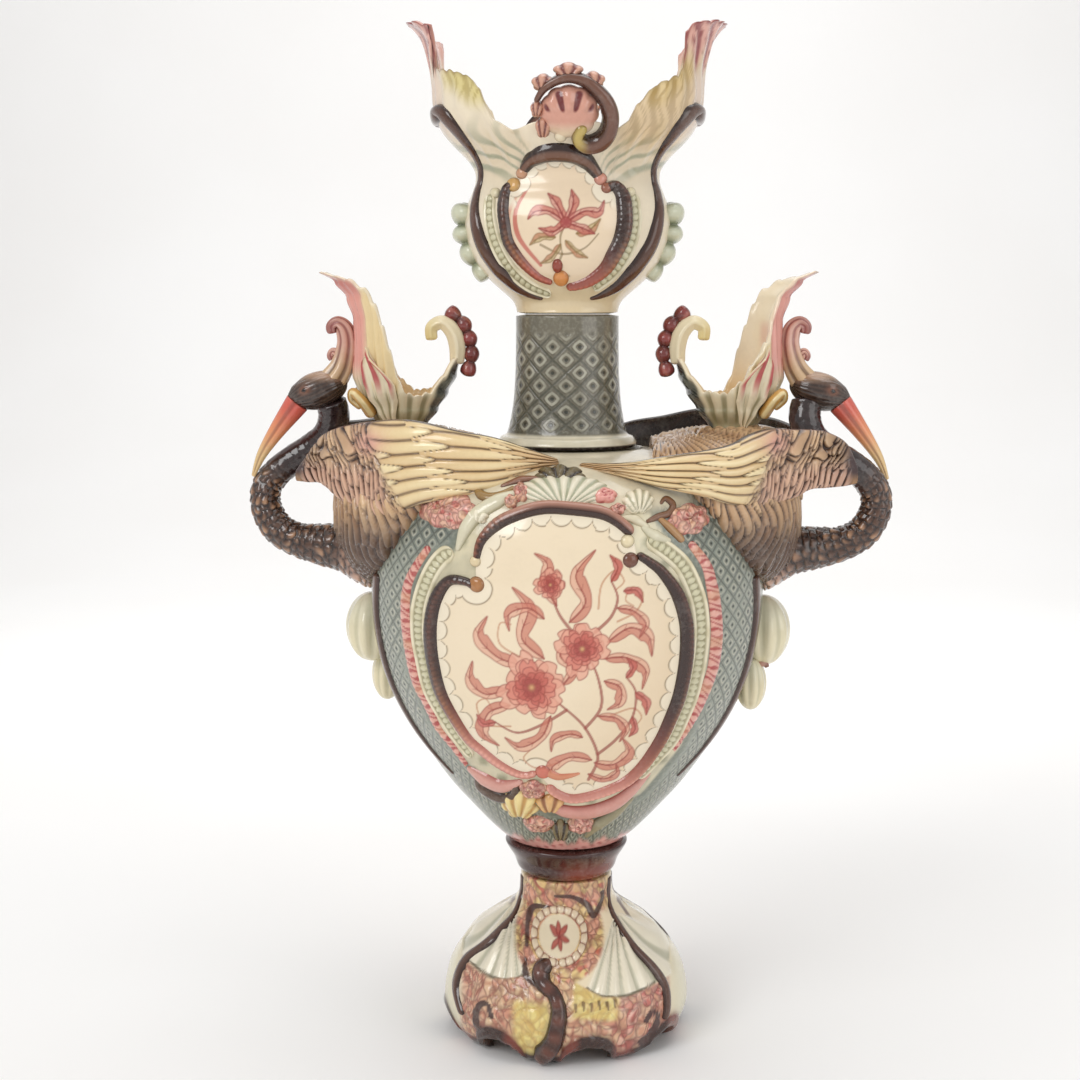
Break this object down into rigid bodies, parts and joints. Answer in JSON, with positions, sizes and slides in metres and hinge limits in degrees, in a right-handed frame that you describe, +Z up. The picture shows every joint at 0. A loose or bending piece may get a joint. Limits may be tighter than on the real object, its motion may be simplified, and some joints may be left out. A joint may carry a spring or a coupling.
{
  "type": "handled vase",
  "caption": "Tall footed earthenware vase with a narrow neck, a flaring crown, applied scroll relief and crane-shaped side handles that carry small cups.",
  "frame": {"origin": "centre of the box that holds the vase, on the plane that the foot stands on", "axes": "+Z up the vase, +X from one handle to the other, -Y towards the painted front panel"},
  "size_m": [0.3798, 0.203, 0.6027],
  "materials": {
    "cream_glaze": "glossy cream lead glaze",
    "grey_green_glaze": "glossy grey-green glaze with a pressed diaper",
    "pale_green_glaze": "glossy pale green glaze",
    "brown_glaze": "glossy dark brown glaze",
    "pink_glaze": "glossy pink glaze",
    "feather_glaze": "glossy pinkish brown glaze over modelled feathers",
    "pale_feather_glaze": "glossy cream and ochre glaze over modelled feathers",
    "beak_glaze": "glossy orange to yellow glaze",
    "red_bead_glaze": "glossy dark red glaze"
  },
  "bodies": {
    "root": {"foot_base": "cream_glaze", "waist_collar": "brown_glaze", "vase_body": "grey_green_glaze", "vase_neck": "grey_green_glaze", "crown_vase": "cream_glaze", "panel_frame_arch_front": "brown_glaze", "panel_frame_arch_back": "brown_glaze", "panel_frame_left_front": "brown_glaze", "panel_frame_left_back": "brown_glaze", "panel_frame_right_front": "brown_glaze", "panel_frame_right_back": "brown_glaze", "panel_keystone_front": "pink_glaze", "panel_keystone_back": "pink_glaze", "foot_medallion_ring_front": "cream_glaze", "foot_medallion_ring_back": "cream_glaze", "foot_scroll_front": "brown_glaze", "foot_scroll_back": "brown_glaze", "crown_oval_frame_front": "brown_glaze", "crown_oval_frame_back": "brown_glaze", "crown_crest_front": "pink_glaze", "crown_crest_back": "pink_glaze", "panel_garland_front": "pink_glaze", "panel_garland_back": "pink_glaze", "side_rib_front_right": "brown_glaze", "side_rib_front_left": "brown_glaze", "side_rib_back_left": "brown_glaze", "side_rib_back_right": "brown_glaze", "foot_rib_front_right": "brown_glaze", "foot_rib_front_left": "brown_glaze", "foot_rib_back_left": "brown_glaze", "foot_rib_back_right": "brown_glaze", "crown_rib_front_right": "brown_glaze", "crown_rib_front_left": "brown_glaze", "crown_rib_back_left": "brown_glaze", "crown_rib_back_right": "brown_glaze", "side_shell_right": "pale_green_glaze", "crown_beading_right": "pale_green_glaze", "side_shell_left": "pale_green_glaze", "crown_beading_left": "pale_green_glaze", "right_bird_torso": "feather_glaze", "right_bird_neck": "brown_glaze", "right_bird_head": "brown_glaze", "right_bird_beak": "beak_glaze", "right_bird_plume": "pink_glaze", "right_bird_front_wing": "pale_feather_glaze", "right_bird_back_wing": "pale_feather_glaze", "right_bird_cup": "cream_glaze", "right_bird_cup_volute": "cream_glaze", "right_bird_cup_beads": "red_bead_glaze", "left_bird_torso": "feather_glaze", "left_bird_neck": "brown_glaze", "left_bird_head": "brown_glaze", "left_bird_beak": "beak_glaze", "left_bird_plume": "pink_glaze", "left_bird_front_wing": "pale_feather_glaze", "left_bird_back_wing": "pale_feather_glaze", "left_bird_cup": "cream_glaze", "left_bird_cup_volute": "cream_glaze", "left_bird_cup_beads": "red_bead_glaze"}
  },
  "joints": []
}
